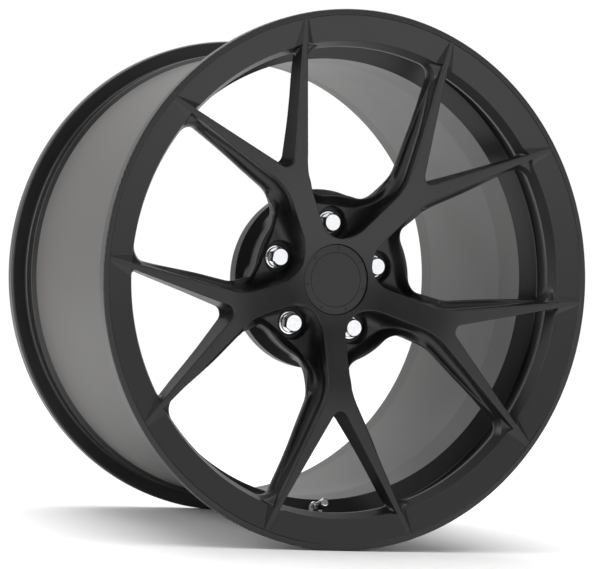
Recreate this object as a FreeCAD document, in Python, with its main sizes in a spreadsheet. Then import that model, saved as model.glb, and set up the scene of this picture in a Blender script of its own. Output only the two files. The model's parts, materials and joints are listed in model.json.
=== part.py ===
import FreeCAD, Part
import math
import os
import Sketcher

from FreeCAD import Placement, Rotation, Vector

# Forged 20 inch wheel, 11.5 inches wide, with its lug bolts, centre cap, valve and pressure sensor.
# Millimetres. The wheel's axis is Y, its street side faces -Y, and +Z is up.
# The origin is on the axis, half way through the overall width. "Depth" is the distance behind
# the plane of the outboard flange's face, so Y = depth - half_width.

SPOKES = 5
CAP_TICKS = 7
BETWEEN = math.pi / SPOKES        # from a spoke's trunk to the middle of the gap beside it
WITH_GAP = math.cos(BETWEEN)
ACROSS_GAP = math.sin(BETWEEN)

SIZES = {
    # rim
    "half_width": 160.05,
    "flange_radius": 273.7,
    "flange_thickness": 14,
    "flange_rounding": 3,
    "bead_radius": 256.4,
    "bead_seat_width": 22,
    "hump_rise": 1.1,
    "hump_width": 5,
    "lip_band_radius": 268,
    "lip_recess_radius": 242.8,
    "lip_recess_depth": 8.5,
    "ledge_radius": 238,
    "ledge_depth": 20.8,
    "undercut_radius": 242.5,
    "ridge_radius": 241.3,
    "hollow_radius": 248,
    "hollow_start": 37,
    "wall_start": 55.5,
    "well_inner_radius": 230,
    "well_inner_depth": 64.3,
    "well_outer_radius": 235.2,
    "well_outer_depth": 69.8,
    "seam_size": 2.4,
    "ramp_depth": 107,
    "ramp_step": 1.1,
    "barrel_end_inner_radius": 248.4,
    "barrel_end_inner_depth": 290,
    "barrel_end_outer_radius": 253,
    "barrel_end_outer_depth": 281.8,
    "barrel_mouth_radius": 251.5,
    "ramp_rise": 1.2,
    # spoke disc
    "pad_depth": 114,
    "pad_radius": 94,
    "pad_front_depth": 82,
    "pad_chamfer": 3,
    "skirt_radius": 91,
    "skirt_depth": 64,
    "hub_front_radius": 40,
    "hub_front_depth": 55.2,
    "shoulder_radius": 118.2,
    "shoulder_depth": 21.4,
    "shoulder_rounding": 150,
    "tip_radius": 270,
    "tip_depth": 0.9,
    "tip_thickness": 8,
    "web_radius": 106,
    "web_depth": 51,
    "arm_back_radius": 240,
    "arm_back_depth": 25.6,
    "arm_root_radius": 252,
    "bore_radius": 36.3,
    "bore_step_depth": 78,
    "cap_bore_radius": 33.4,
    "cap_seat_radius": 37.1,
    "cap_seat_depth": 59.1,
    # window between the two arms of a spoke: apex distance and half width at the far end
    "fork_start": 124.5,
    "fork_half_width": 92.5,
    "fork_rounding": 10,
    "fork_back_start": 134.5,
    "fork_back_half_width": 98,
    "fork_back_rounding": 12,
    "window_end": 275,
    # gap between two spokes: half width of the trunks beside it, flare of the arms, hub edge
    "gap_hub": 43.2,
    "gap_hub_trunk": 5,
    "gap_hub_rounding": 24,
    "gap_trunk": 0.5,
    "gap_flare_start": 108,
    "gap_flare_rounding": 70,
    "gap_arm": 97,
    "gap_floor_hub_trunk": 17,
    "gap_floor_hub_rounding": 14,
    "gap_floor_trunk": 32,
    "gap_floor_flare_start": 114.5,
    "gap_floor_flare_rounding": 55,
    "gap_floor_arm": 105.5,
    "window_front_depth": -2,
    "window_back_depth": 66,
    "gap_floor": 74,
    # lug seats
    "pitch_radius": 60,
    "counterbore_radius": 16.5,
    "counterbore_floor": 84.6,
    "seat_outer_radius": 13,
    "seat_hole_radius": 8,
    "relief_radius": 15,
    "relief_reach": 34,
    # lug bolt and its loose cone ring
    "hex_across_flats": 17,
    "hex_depth": 73.1,
    "collar_depth": 82.6,
    "collar_radius": 10.6,
    "collar_thickness": 1.8,
    "bolt_radius": 7,
    "bolt_shank_radius": 6.4,
    "bolt_reach": 26,
    "bolt_point": 2,
    "ring_outer_radius": 12.15,
    "ring_bore_radius": 7.3,
    "ring_rim": 1.2,
    "ring_gap": 0.3,
    # centre cap
    "cap_radius": 36.7,
    "cap_face_depth": 55.7,
    "cap_flange": 3,
    "cap_skirt_radius": 32.6,
    "cap_skirt_wall": 2.4,
    "cap_skirt_end": 74,
    "cap_groove_depth": 1.7,
    "cap_groove_width": 2.2,
    "badge_radius": 28.6,
    "badge_thickness": 1,
    "badge_gap": 0.2,
    "tick_length": 3.2,
    "tick_width": 0.5,
    "tick_cut": 0.4,
    "tick_radius": 33,
    "wire_radius": 1,
    "wire_ring_radius": 32,
    "wire_ring_depth": 70,
    "seal_ring_depth": 63,
    # valve, measured along its own axis from the rim wall
    "valve_radius": 239.4,
    "wall_thickness": 6,
    "valve_hole_radius": 5.7,
    "stem_radius": 4,
    "stem_thread_radius": 3.85,
    "stem_thread_start": 9,
    "stem_end": 20.5,
    "stem_head_radius": 6.8,
    "stem_head_thickness": 3,
    "core_bore_radius": 2.4,
    "core_bore_start": 7,
    "air_bore_radius": 1.5,
    "grommet_radius": 7.2,
    "grommet_thickness": 2.5,
    "washer_radius": 8,
    "washer_lift": 0.1,
    "washer_thickness": 1.4,
    "nut_radius": 5.9,
    "nut_height": 6.6,
    "core_end": 19.6,
    "core_shoulder": 14,
    "pin_bore_radius": 0.9,
    "pin_radius": 0.84,
    "pin_start": 12.6,
    "pin_end": 20,
    "pin_foot_radius": 1.4,
    "pin_foot_height": 0.9,
    "spring_radius": 1.7,
    "spring_wire": 0.2,
    "spring_start": 7.2,
    "spring_end": 11.3,
    "spring_turns": 5,
    "valve_cap_radius": 4.7,
    "valve_cap_bore": 3.93,
    "valve_cap_start": 11.6,
    "valve_cap_end": 23.6,
    "valve_cap_top": 1.5,
    "cap_disc_radius": 3.7,
    "cap_disc_thickness": 0.9,
    # pressure sensor, standing in the well behind the valve
    "sensor_start": 76,
    "sensor_length": 28,
    "sensor_width": 40,
    "sensor_floor": 238.4,
    "sensor_height": 13,
    "sensor_rounding": 3,
    "arm_radius": 6,
    "arm_thickness": 3.5,
    "screw_head_radius": 2.8,
    "screw_head_height": 2.4,
    "screw_length": 7,
}

doc = FreeCAD.newDocument("forged_wheel")
sheet = doc.addObject("Spreadsheet::Sheet", "Sizes")
for row, (alias, number) in enumerate(SIZES.items(), start=1):
    sheet.set("A%d" % row, alias)
    sheet.set("B%d" % row, str(number))
    sheet.setAlias("B%d" % row, alias)
doc.recompute()


class Size:
    """A length: its value in mm and the sheet expression that a constraint is bound to."""

    def __init__(self, number, text):
        self.number = number
        self.text = text

    def combine(self, other, sign, number):
        return Size(number, "(%s %s %s)" % (self.text, sign, size(other).text))

    def __add__(self, other):
        return self.combine(other, "+", self.number + size(other).number)

    def __sub__(self, other):
        return self.combine(other, "-", self.number - size(other).number)

    def __mul__(self, factor):
        return Size(self.number * factor, "(%s * %.9f)" % (self.text, factor))

    def __neg__(self):
        return self * -1


def size(source):
    """The sheet's cell of that name, or a plain number as a Size."""
    if isinstance(source, Size):
        return source
    if isinstance(source, str):
        return Size(float(SIZES[source]), "Sizes.%s" % source)
    return Size(float(source), "%.9f" % source)


def origin_plane(body, role):
    for feature in body.Origin.OriginFeatures:
        if feature.Role == role:
            return feature
    raise ValueError(role)


def new_body(name):
    body = doc.addObject("PartDesign::Body", name)
    body.Label = name
    return body


def new_sketch(body, name, plane, rotation, offsets):
    sketch = body.newObject("Sketcher::SketchObject", name)
    sketch.AttachmentSupport = [(origin_plane(body, plane), "")]
    sketch.MapMode = "FlatFace"
    base = Vector(*[size(offset).number for offset in offsets])
    sketch.AttachmentOffset = Placement(base, rotation)
    for letter, offset in zip("xyz", offsets):
        if size(offset).number:
            sketch.setExpression("AttachmentOffset.Base.%s" % letter, size(offset).text)
    return sketch


def half_section(body, name, shift="half_width"):
    """Sketch of a turned shape: x is the radius and y the depth (or the height with shift 0)."""
    return new_sketch(body, name, "XY_Plane", Rotation(), [0, -size(shift), 0])


def side_section(body, name, upside_down=False):
    """Sketch in the Y-Z plane: x is the depth, y the distance above (or below) the wheel's axis."""
    rotation = Rotation(Vector(1, 0, 0), 180 if upside_down else 0)
    return new_sketch(body, name, "YZ_Plane", rotation, [-size("half_width"), 0, 0])


def front_view(body, name, depth, turn=0):
    """Sketch seen from the street side at that depth, turned about the wheel's axis."""
    offset = size("half_width") - depth
    return new_sketch(body, name, "XZ_Plane", Rotation(Vector(0, 0, 1), turn), [0, 0, offset])


def bind(sketch, constraint, length):
    index = sketch.addConstraint(constraint)
    sketch.setExpression("Constraints[%d]" % index, length.text)


def pin_point(sketch, geometry, position, x, y):
    for kind, length in (("DistanceX", x), ("DistanceY", y)):
        constraint = Sketcher.Constraint(kind, -1, 1, geometry, position, length.number)
        bind(sketch, constraint, length)


def outline(sketch, corners):
    """Closed outline through corners (x, y) or (x, y, rounding), each bound to the sheet."""
    xs = [size(corner[0]) for corner in corners]
    ys = [size(corner[1]) for corner in corners]
    radii = [size(corner[2] if len(corner) > 2 else 0) for corner in corners]
    points = [Vector(x.number, y.number, 0) for x, y in zip(xs, ys)]
    count = len(corners)
    cut_before, cut_after, arcs = [], [], []
    for i in range(count):
        to_last = (points[i - 1] - points[i]).normalize()
        to_next = (points[(i + 1) % count] - points[i]).normalize()
        half = to_last.getAngle(to_next) / 2
        reach = radii[i].number / math.tan(half)
        cut_before.append(points[i] + to_last * reach)
        cut_after.append(points[i] + to_next * reach)
        middle = (to_last + to_next).normalize()
        arcs.append(points[i] + middle * (radii[i].number / math.sin(half)))
    lines = []
    for i in range(count):
        end = cut_before[(i + 1) % count]
        lines.append(sketch.addGeometry(Part.LineSegment(cut_after[i], end), False))
    for i in range(count):
        last, following = lines[i - 1], lines[i]
        if not radii[i].number:
            sketch.addConstraint(Sketcher.Constraint("Coincident", last, 2, following, 1))
            pin_point(sketch, following, 1, xs[i], ys[i])
            continue
        start = cut_before[i] - arcs[i]
        end = cut_after[i] - arcs[i]
        left_turn = start.cross(end).z > 0
        angles = [math.atan2(side.y, side.x) for side in (start, end)]
        if not left_turn:
            angles.reverse()
        circle = Part.Circle(arcs[i], Vector(0, 0, 1), radii[i].number)
        arc = sketch.addGeometry(Part.ArcOfCircle(circle, angles[0], angles[1]), False)
        first, second = (1, 2) if left_turn else (2, 1)
        corner = sketch.addGeometry(Part.Point(points[i]), True)
        sketch.addConstraint([
            Sketcher.Constraint("Tangent", last, 2, arc, first),
            Sketcher.Constraint("Tangent", following, 1, arc, second),
            Sketcher.Constraint("PointOnObject", corner, 1, last),
            Sketcher.Constraint("PointOnObject", corner, 1, following)])
        bind(sketch, Sketcher.Constraint("Radius", arc, radii[i].number), radii[i])
        pin_point(sketch, corner, 1, xs[i], ys[i])


def circle(sketch, x, y, radius):
    x, y, radius = size(x), size(y), size(radius)
    centre = Vector(x.number, y.number, 0)
    round_edge = sketch.addGeometry(Part.Circle(centre, Vector(0, 0, 1), radius.number), False)
    bind(sketch, Sketcher.Constraint("Radius", round_edge, radius.number), radius)
    pin_point(sketch, round_edge, 3, x, y)


def turned(body, name, corners, kind="Revolution", shift="half_width"):
    """Revolve a half section about the body's Y axis, adding metal or cutting a groove."""
    sketch = half_section(body, name + "_section", shift)
    outline(sketch, corners)
    feature = body.newObject("PartDesign::%s" % kind, name)
    feature.Profile = sketch
    feature.ReferenceAxis = (sketch, ["V_Axis"])
    feature.Angle = 360
    doc.recompute()
    return feature


def repeat(body, feature, count=SPOKES):
    pattern = body.newObject("PartDesign::PolarPattern", feature.Name + "_pattern")
    pattern.Originals = [feature]
    pattern.Axis = (origin_plane(body, "Y_Axis"), [""])
    pattern.Angle = 360
    pattern.Occurrences = count
    body.Tip = pattern
    doc.recompute()
    return pattern


def cut_between(body, name, front, back):
    """Straight-walled cut from one sketch to another."""
    feature = body.newObject("PartDesign::SubtractiveLoft", name)
    feature.Profile = front
    feature.Sections = [back]
    feature.Ruled = True
    doc.recompute()
    return feature


def beside_trunk(offset, along):
    """Gap-centred x and y of a point beside the right-hand trunk."""
    offset, along = size(offset), size(along)
    return along * ACROSS_GAP - offset * WITH_GAP, along * WITH_GAP + offset * ACROSS_GAP


def hub_corner(trunk, hub):
    """Where a trunk's side meets the straight hub edge at that distance from the axis."""
    trunk, hub = size(trunk), size(hub)
    along = (hub - trunk * ACROSS_GAP) * (1 / WITH_GAP)
    return beside_trunk(trunk, along)


def both_sides(corners):
    """Corners of the right half, from the hub outwards, closed with their mirror images."""
    right = [(size(x), size(y), size(rounding)) for x, y, rounding in corners]
    return right + [(-x, y, rounding) for x, y, rounding in reversed(right)]


# ---------------------------------------------------------------- forged centre

def gap_window(sketch, hub_trunk, hub_rounding, trunk, flare_start, flare_rounding, arm):
    outline(sketch, both_sides([
        (*hub_corner(hub_trunk, "gap_hub"), hub_rounding),
        (*beside_trunk(trunk, flare_start), flare_rounding),
        (*beside_trunk(arm, "window_end"), 0)]))


def fork_window(sketch, start, half_width, rounding):
    half_width = size(half_width)
    outline(sketch, [
        (0, start, rounding), (half_width, "window_end"), (-half_width, "window_end")])


def forged_centre():
    body = new_body("forged_centre")
    turned(body, "spoke_disc", [
        ("bore_radius", "pad_depth"),
        ("bore_radius", "bore_step_depth"),
        ("cap_bore_radius", "bore_step_depth"),
        ("cap_bore_radius", "cap_seat_depth"),
        ("cap_seat_radius", "cap_seat_depth"),
        ("cap_seat_radius", "hub_front_depth"),
        ("hub_front_radius", "hub_front_depth"),
        ("shoulder_radius", "shoulder_depth", "shoulder_rounding"),
        ("tip_radius", "tip_depth"),
        ("tip_radius", size("tip_depth") + "tip_thickness"),
        ("arm_root_radius", size("flange_thickness") + 1),
        ("arm_root_radius", "arm_back_depth"),
        ("arm_back_radius", "arm_back_depth"),
        ("web_radius", "web_depth"),
        ("skirt_radius", "skirt_depth"),
        ("pad_radius", "pad_front_depth"),
        ("pad_radius", size("pad_depth") - "pad_chamfer"),
        (size("pad_radius") - "pad_chamfer", "pad_depth")])

    front = front_view(body, "gap_front", "window_front_depth")
    gap_window(front, "gap_hub_trunk", "gap_hub_rounding", "gap_trunk", "gap_flare_start",
               "gap_flare_rounding", "gap_arm")
    back = front_view(body, "gap_back", "gap_floor")
    gap_window(back, "gap_floor_hub_trunk", "gap_floor_hub_rounding", "gap_floor_trunk",
               "gap_floor_flare_start", "gap_floor_flare_rounding", "gap_floor_arm")
    repeat(body, cut_between(body, "gap_windows", front, back))

    front = front_view(body, "fork_front", "window_front_depth", turn=180)
    fork_window(front, "fork_start", "fork_half_width", "fork_rounding")
    back = front_view(body, "fork_back", "window_back_depth", turn=180)
    fork_window(back, "fork_back_start", "fork_back_half_width", "fork_back_rounding")
    repeat(body, cut_between(body, "fork_windows", front, back))

    seat = side_section(body, "lug_seat_section")
    pitch = size("pitch_radius")
    seat_drop = (size("seat_outer_radius") - "seat_hole_radius") * math.sqrt(3)
    outline(seat, [
        (size("gap_floor") - 1, pitch),
        (size("gap_floor") - 1, pitch + "counterbore_radius"),
        ("counterbore_floor", pitch + "counterbore_radius"),
        ("counterbore_floor", pitch + "seat_outer_radius"),
        (size("counterbore_floor") + seat_drop, pitch + "seat_hole_radius"),
        (size("pad_depth") + 2, pitch + "seat_hole_radius"),
        (size("pad_depth") + 2, pitch)])
    hole = body.newObject("PartDesign::Groove", "lug_seats")
    hole.Profile = seat
    hole.ReferenceAxis = (seat, ["Edge%d" % 7])
    hole.Angle = 360
    doc.recompute()
    repeat(body, hole)

    relief = front_view(body, "relief_outline", "pad_depth", turn=180)
    circle(relief, 0, "pitch_radius", "relief_radius")
    cut = body.newObject("PartDesign::Pocket", "pad_reliefs")
    cut.Profile = relief
    cut.Reversed = True
    cut.setExpression("Length", "Sizes.relief_reach")
    doc.recompute()
    repeat(body, cut)

    bead_end = size("flange_thickness") + "bead_seat_width"
    hump = size("bead_radius") + "hump_rise"
    hump_end = bead_end + "hump_width"
    flange_back = size("flange_thickness")
    turned(body, "rim_ring", [
        ("lip_band_radius", 0),
        (size("flange_radius") - 1, 0),
        ("flange_radius", 1),
        ("flange_radius", flange_back, "flange_rounding"),
        ("bead_radius", flange_back, "flange_rounding"),
        ("bead_radius", bead_end),
        (hump, bead_end + 1),
        (hump, hump_end - 1),
        (size("bead_radius") - 1, hump_end + 2),
        (size("bead_radius") - 1.4, wall_back(size("bead_radius") - 1.4), 4),
        ("well_outer_radius", wall_back("well_outer_radius")),
        ("well_outer_radius", "well_outer_depth"),
        ("well_inner_radius", "well_inner_depth"),
        ("hollow_radius", "wall_start", 2),
        ("hollow_radius", "hollow_start", 4),
        ("ridge_radius", size("hollow_start") - 5, 1),
        ("undercut_radius", size("ledge_depth") + 6.5, 1),
        ("ledge_radius", size("ledge_depth") + 3),
        ("ledge_radius", "ledge_depth"),
        ("lip_recess_radius", "lip_recess_depth"),
        (size("lip_band_radius") - 0.6, 1.6)])

    hole = side_section(body, "valve_hole_section", upside_down=True)
    inward = valve_axis_in_section()
    across = Vector(-inward.y, inward.x, 0)
    start = valve_foot()
    reach, back_reach = 6, -14
    corners = [
        start + inward * reach,
        start + inward * reach + across * SIZES["valve_hole_radius"],
        start + inward * back_reach + across * SIZES["valve_hole_radius"],
        start + inward * back_reach]
    outline(hole, [
        (wall_front("valve_radius") + (corner.x - start.x),
         size("valve_radius") + (corner.y - start.y))
        for corner in corners])
    cut = body.newObject("PartDesign::Groove", "valve_hole")
    cut.Profile = hole
    cut.ReferenceAxis = (hole, ["Edge4"])
    cut.Angle = 360
    doc.recompute()
    return body


def valve_axis_in_section():
    """Unit vector (depth, radius) square to the well's wall, pointing to the street side."""
    wall = Vector(SIZES["well_inner_depth"] - SIZES["wall_start"],
                  SIZES["well_inner_radius"] - SIZES["hollow_radius"], 0)
    wall.normalize()
    return Vector(wall.y, -wall.x, 0)


def wall_front(radius):
    """Depth of the well wall's brake side at that radius."""
    axis = valve_axis_in_section()
    return size("well_inner_depth") - (size(radius) - "well_inner_radius") * (axis.y / axis.x)


def wall_back(radius):
    """Depth of the well wall's tyre side at that radius."""
    return wall_front(radius) - size("wall_thickness") * (1 / valve_axis_in_section().x)


def valve_foot():
    """Point (depth, radius) where the valve's axis meets the wall's brake side."""
    return Vector(wall_front("valve_radius").number, SIZES["valve_radius"], 0)


def valve_placement():
    """Places a part turned about its own Y axis so that +Y runs out along the valve."""
    axis = valve_axis_in_section()
    direction = Vector(0, axis.x, -axis.y)
    foot = valve_foot()
    base = Vector(0, foot.x - SIZES["half_width"], -foot.y)
    return Placement(base, Rotation(Vector(0, 1, 0), direction))


# ---------------------------------------------------------------- barrel and seam

def rim_barrel():
    body = new_body("rim_barrel")
    whole = size("half_width") * 2
    flange_front = whole - "flange_thickness"
    bead_start = flange_front - "bead_seat_width" + 6
    hump = size("bead_radius") + "hump_rise"
    turned(body, "barrel", [
        ("well_inner_radius", "well_inner_depth"),
        ("well_outer_radius", "well_outer_depth"),
        ("well_outer_radius", size("ramp_depth") - 2),
        (size("well_outer_radius") + "ramp_rise", size("ramp_depth") + 4),
        ("barrel_end_outer_radius", "barrel_end_outer_depth"),
        (size("barrel_end_outer_radius") - 0.8, size("barrel_end_outer_depth") + 1.4),
        (hump, bead_start - 4),
        (hump, bead_start - 1),
        ("bead_radius", bead_start),
        ("bead_radius", flange_front, "flange_rounding"),
        ("flange_radius", flange_front, "flange_rounding"),
        ("flange_radius", whole, 2),
        ("barrel_mouth_radius", whole, 1.5),
        (size("barrel_mouth_radius") - 0.5, size("barrel_end_inner_depth") + 4),
        ("barrel_end_inner_radius", "barrel_end_inner_depth"),
        (size("well_inner_radius") + "ramp_step" + 1, size("ramp_depth") + 1),
        (size("well_inner_radius") + 1, "ramp_depth")])
    turned(body, "seam_groove", seam_corners(), "Groove")
    return body


def seam_corners():
    """Section of the bead that fills the groove at the tyre side of the joint."""
    return [
        (size("well_outer_radius") - "seam_size", "well_outer_depth"),
        (size("well_outer_radius") + 0.5, "well_outer_depth"),
        (size("well_outer_radius") + 0.5, size("well_outer_depth") + "seam_size")]


def weld_seam():
    body = new_body("weld_seam")
    turned(body, "bead", seam_corners())
    return body


# ---------------------------------------------------------------- lug bolts

def lug_placement(index):
    """Turns a part made on the Y axis to the pitch circle in the gap with that number."""
    turn = Rotation(Vector(0, 1, 0), index * 360 / SPOKES)
    return Placement(turn.multVec(Vector(0, 0, SIZES["pitch_radius"])), turn)


def lug_bolt(index):
    body = new_body("lug_bolt_%d" % (index + 1))
    name = "bolt_%d" % (index + 1)
    radius = size("bolt_radius")
    collar = size("collar_depth")
    thread_start = size("pad_depth") + 0.5
    end = size("pad_depth") + "bolt_reach"
    turned(body, name + "_shank", [
        (0, collar),
        (size("collar_radius") - 0.8, collar),
        ("collar_radius", collar + 0.8),
        ("collar_radius", collar + "collar_thickness"),
        ("bolt_shank_radius", collar + "collar_thickness"),
        ("bolt_shank_radius", thread_start),
        (radius, thread_start),
        (radius, end - "bolt_point"),
        (radius - "bolt_point", end),
        (0, end)])
    head = front_view(body, name + "_hexagon", "collar_depth")
    across = size("hex_across_flats") * (1 / math.sqrt(3))
    outline(head, [
        (across * math.cos(corner * math.pi / 3), across * math.sin(corner * math.pi / 3))
        for corner in range(6)])
    pad = body.newObject("PartDesign::Pad", name + "_hex")
    pad.Profile = head
    pad.setExpression("Length", "Sizes.collar_depth - Sizes.hex_depth")
    doc.recompute()
    flat = size("hex_across_flats") * 0.5
    turned(body, name + "_hex_chamfer", [
        (flat - 0.6, size("hex_depth") - 1),
        (flat - 0.6, "hex_depth"),
        (flat + 2.4, size("hex_depth") + 1.7),
        (flat + 2.4, size("hex_depth") - 1)], "Groove")
    body.Placement = lug_placement(index)
    return body


def lug_ring(index):
    """Loose 60 degree cone ring between a bolt's collar and the seat in the wheel."""
    body = new_body("lug_ring_%d" % (index + 1))
    top = size("collar_depth") + "collar_thickness" + "ring_gap"
    rim_end = top + "ring_rim"
    cone = (size("ring_outer_radius") - "ring_bore_radius" - 0.8) * math.sqrt(3)
    turned(body, "ring_%d" % (index + 1), [
        ("ring_bore_radius", top),
        (size("ring_outer_radius") - 0.5, top),
        ("ring_outer_radius", top + 0.5),
        ("ring_outer_radius", rim_end),
        (size("ring_bore_radius") + 0.8, rim_end + cone),
        ("ring_bore_radius", rim_end + cone)])
    body.Placement = lug_placement(index)
    return body


# ---------------------------------------------------------------- centre cap

def cap_shell():
    body = new_body("cap_shell")
    face = size("cap_face_depth")
    skirt_inner = size("cap_skirt_radius") - "cap_skirt_wall"
    turned(body, "shell", [
        (0, face + "badge_thickness"),
        (size("badge_radius") + "badge_gap", face + "badge_thickness"),
        (size("badge_radius") + "badge_gap", face),
        (size("cap_radius") - 0.5, face),
        ("cap_radius", face + 0.5),
        ("cap_radius", face + "cap_flange"),
        ("cap_skirt_radius", face + "cap_flange"),
        ("cap_skirt_radius", "cap_skirt_end"),
        (skirt_inner, "cap_skirt_end"),
        (skirt_inner, face + "cap_flange"),
        (0, face + "cap_flange")])
    groove_floor = size("cap_skirt_radius") - "cap_groove_depth"
    half_groove = size("cap_groove_width") * 0.5
    for name, depth in (("seal_groove", "seal_ring_depth"), ("wire_groove", "wire_ring_depth")):
        turned(body, name, [
            (groove_floor, size(depth) - half_groove),
            (size("cap_skirt_radius") + 1, size(depth) - half_groove),
            (size("cap_skirt_radius") + 1, size(depth) + half_groove),
            (groove_floor, size(depth) + half_groove)],
            "Groove")
    tick = front_view(body, "tick_outline", size("cap_face_depth") + "tick_cut")
    half_length = size("tick_length") * 0.5
    half_width = size("tick_width") * 0.5
    near, far = size("tick_radius") - half_length, size("tick_radius") + half_length
    outline(tick, [(half_width, near), (half_width, far), (-half_width, far), (-half_width, near)])
    cut = body.newObject("PartDesign::Pocket", "ticks")
    cut.Profile = tick
    cut.Reversed = True
    cut.Length = 2
    doc.recompute()
    repeat(body, cut, CAP_TICKS)
    return body


def cap_badge():
    body = new_body("cap_badge")
    face = size("cap_face_depth")
    radius = size("badge_radius")
    turned(body, "badge", [
        (0, face),
        (radius - 0.3, face),
        (radius, face + 0.3),
        (radius, face + "badge_thickness"),
        (0, face + "badge_thickness")])
    return body


def ring_on_axis(name, ring_radius, wire_radius, depth):
    """Round-section ring about the wheel's axis."""
    ring = doc.addObject("Part::Torus", name)
    ring.Label = name
    ring.setExpression("Radius1", size(ring_radius).text)
    ring.setExpression("Radius2", size(wire_radius).text)
    along = SIZES[depth] - SIZES["half_width"]
    ring.Placement = Placement(Vector(0, along, 0), Rotation(Vector(1, 0, 0), 90))
    return ring


# ---------------------------------------------------------------- valve

def on_valve(name, corners):
    """A turned piece of the valve: corners are (radius, height along the valve's axis)."""
    body = new_body(name)
    turned(body, name + "_turning", corners, shift=0)
    body.Placement = valve_placement()
    return body


def valve_parts():
    wall = -size("wall_thickness")
    grommet_back = wall - "grommet_thickness"
    head_back = grommet_back - "stem_head_thickness"
    nut_base = size("washer_thickness")
    nut_top = nut_base + "nut_height"
    stem, thread = size("stem_radius"), size("stem_thread_radius")
    core_bore, air_bore = size("core_bore_radius"), size("air_bore_radius")
    parts = [
        on_valve("valve_stem", [
            (air_bore, head_back),
            ("stem_head_radius", head_back),
            ("stem_head_radius", grommet_back - 0.6),
            (size("stem_head_radius") - 0.6, grommet_back),
            (stem, grommet_back),
            (stem, "stem_thread_start"),
            (thread, size("stem_thread_start") + 0.3),
            (thread, size("stem_end") - 0.5),
            (thread - 0.5, "stem_end"),
            (core_bore, "stem_end"),
            (core_bore, "core_bore_start"),
            (air_bore, "core_bore_start")]),
        on_valve("valve_grommet", [
            (stem, grommet_back),
            ("grommet_radius", grommet_back),
            ("grommet_radius", wall),
            ("valve_hole_radius", wall),
            ("valve_hole_radius", 0),
            (stem, 0)]),
        on_valve("valve_washer", [
            (stem, "washer_lift"),
            ("washer_radius", "washer_lift"),
            ("washer_radius", size("washer_thickness") - 0.4),
            (size("washer_radius") - 0.4, "washer_thickness"),
            (stem, "washer_thickness")]),
        on_valve("valve_nut", [
            (stem, nut_base),
            ("nut_radius", nut_base),
            ("nut_radius", nut_top - 0.8),
            (size("nut_radius") - 0.8, nut_top),
            (stem, nut_top)]),
        on_valve("valve_core", [
            ("pin_bore_radius", "core_shoulder"),
            (core_bore, "core_shoulder"),
            (core_bore, "core_end"),
            ("pin_bore_radius", "core_end")]),
        on_valve("valve_pin", [
            (0, "pin_start"),
            ("pin_foot_radius", "pin_start"),
            ("pin_foot_radius", size("pin_start") + "pin_foot_height"),
            ("pin_radius", size("pin_start") + "pin_foot_height"),
            ("pin_radius", "pin_end"),
            (0, "pin_end")]),
        on_valve("valve_cap", [
            (0, size("valve_cap_end") - "valve_cap_top"),
            ("valve_cap_bore", size("valve_cap_end") - "valve_cap_top"),
            ("valve_cap_bore", "valve_cap_start"),
            (size("valve_cap_radius") - 0.3, "valve_cap_start"),
            ("valve_cap_radius", size("valve_cap_start") + 0.4),
            ("valve_cap_radius", size("valve_cap_end") - 0.9),
            (size("valve_cap_radius") - 0.9, "valve_cap_end"),
            (0, "valve_cap_end")]),
        on_valve("cap_disc", [
            (0, size("valve_cap_end") - "valve_cap_top" - "cap_disc_thickness"),
            ("cap_disc_radius", size("valve_cap_end") - "valve_cap_top" - "cap_disc_thickness"),
            ("cap_disc_radius", size("valve_cap_end") - "valve_cap_top" - 0.05),
            (0, size("valve_cap_end") - "valve_cap_top" - 0.05)]),
        on_valve("sensor_screw", [
            (0, head_back - "arm_thickness" - "screw_head_height"),
            ("screw_head_radius", head_back - "arm_thickness" - "screw_head_height"),
            ("screw_head_radius", head_back - "arm_thickness"),
            (air_bore, head_back - "arm_thickness"),
            (air_bore, head_back - "arm_thickness" + "screw_length"),
            (0, head_back - "arm_thickness" + "screw_length")])]
    return parts + [valve_spring(), sensor_housing(head_back)]


def valve_spring():
    """Coil spring round the pin, a wire swept along a helix on the valve's axis."""
    start = SIZES["spring_start"]
    pitch = (SIZES["spring_end"] - SIZES["spring_wire"] - start) / SIZES["spring_turns"]
    path = Part.makeHelix(pitch, pitch * SIZES["spring_turns"], SIZES["spring_radius"])
    wire = Part.Circle(Vector(SIZES["spring_radius"], 0, 0), Vector(0, 1, 0), SIZES["spring_wire"])
    coil = Part.Wire(path).makePipeShell([Part.Wire(wire.toShape())], True, True)
    spring = doc.addObject("Part::Feature", "valve_spring")
    spring.Label = "valve_spring"
    spring.Shape = coil
    upright = Placement(Vector(0, start, 0), Rotation(Vector(1, 0, 0), -90))
    spring.Placement = valve_placement().multiply(upright)
    return spring


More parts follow.
